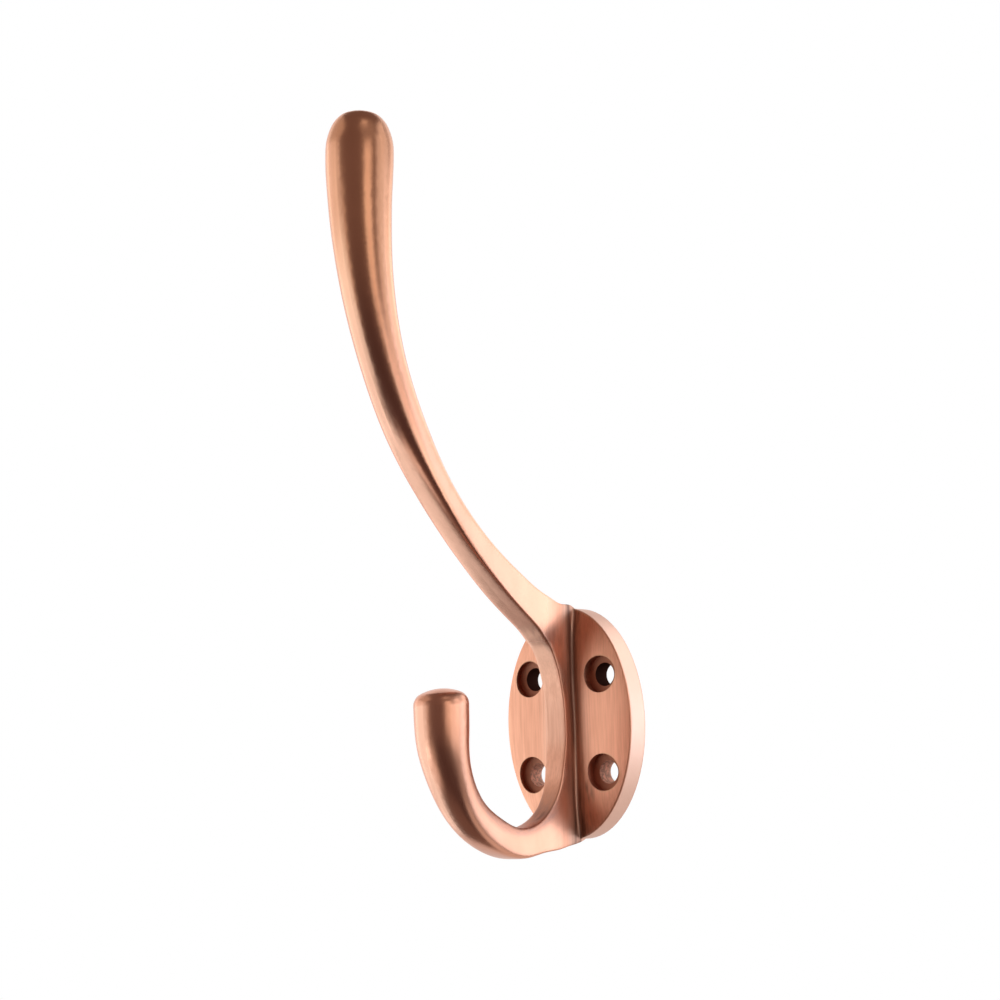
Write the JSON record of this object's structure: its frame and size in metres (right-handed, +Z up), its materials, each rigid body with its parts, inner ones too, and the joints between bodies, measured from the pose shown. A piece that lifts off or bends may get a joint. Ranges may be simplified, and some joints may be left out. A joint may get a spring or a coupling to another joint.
{
  "type": "hat and coat hook",
  "caption": "Cast hat and coat hook: oval wall plate with recessed screw holes, a long upper arm swelling to a blunt tip and a short curled lower hook, in satin brushed copper.",
  "frame": {"origin": "centre of the plate's back face, on the wall", "axes": "+Y into the wall, +Z up, +X to the right of someone facing the wall"},
  "size_m": [0.0282, 0.062, 0.1271],
  "materials": {
    "satin_copper": "satin brushed copper"
  },
  "bodies": {
    "root": {"hook": "satin_copper"}
  },
  "joints": []
}
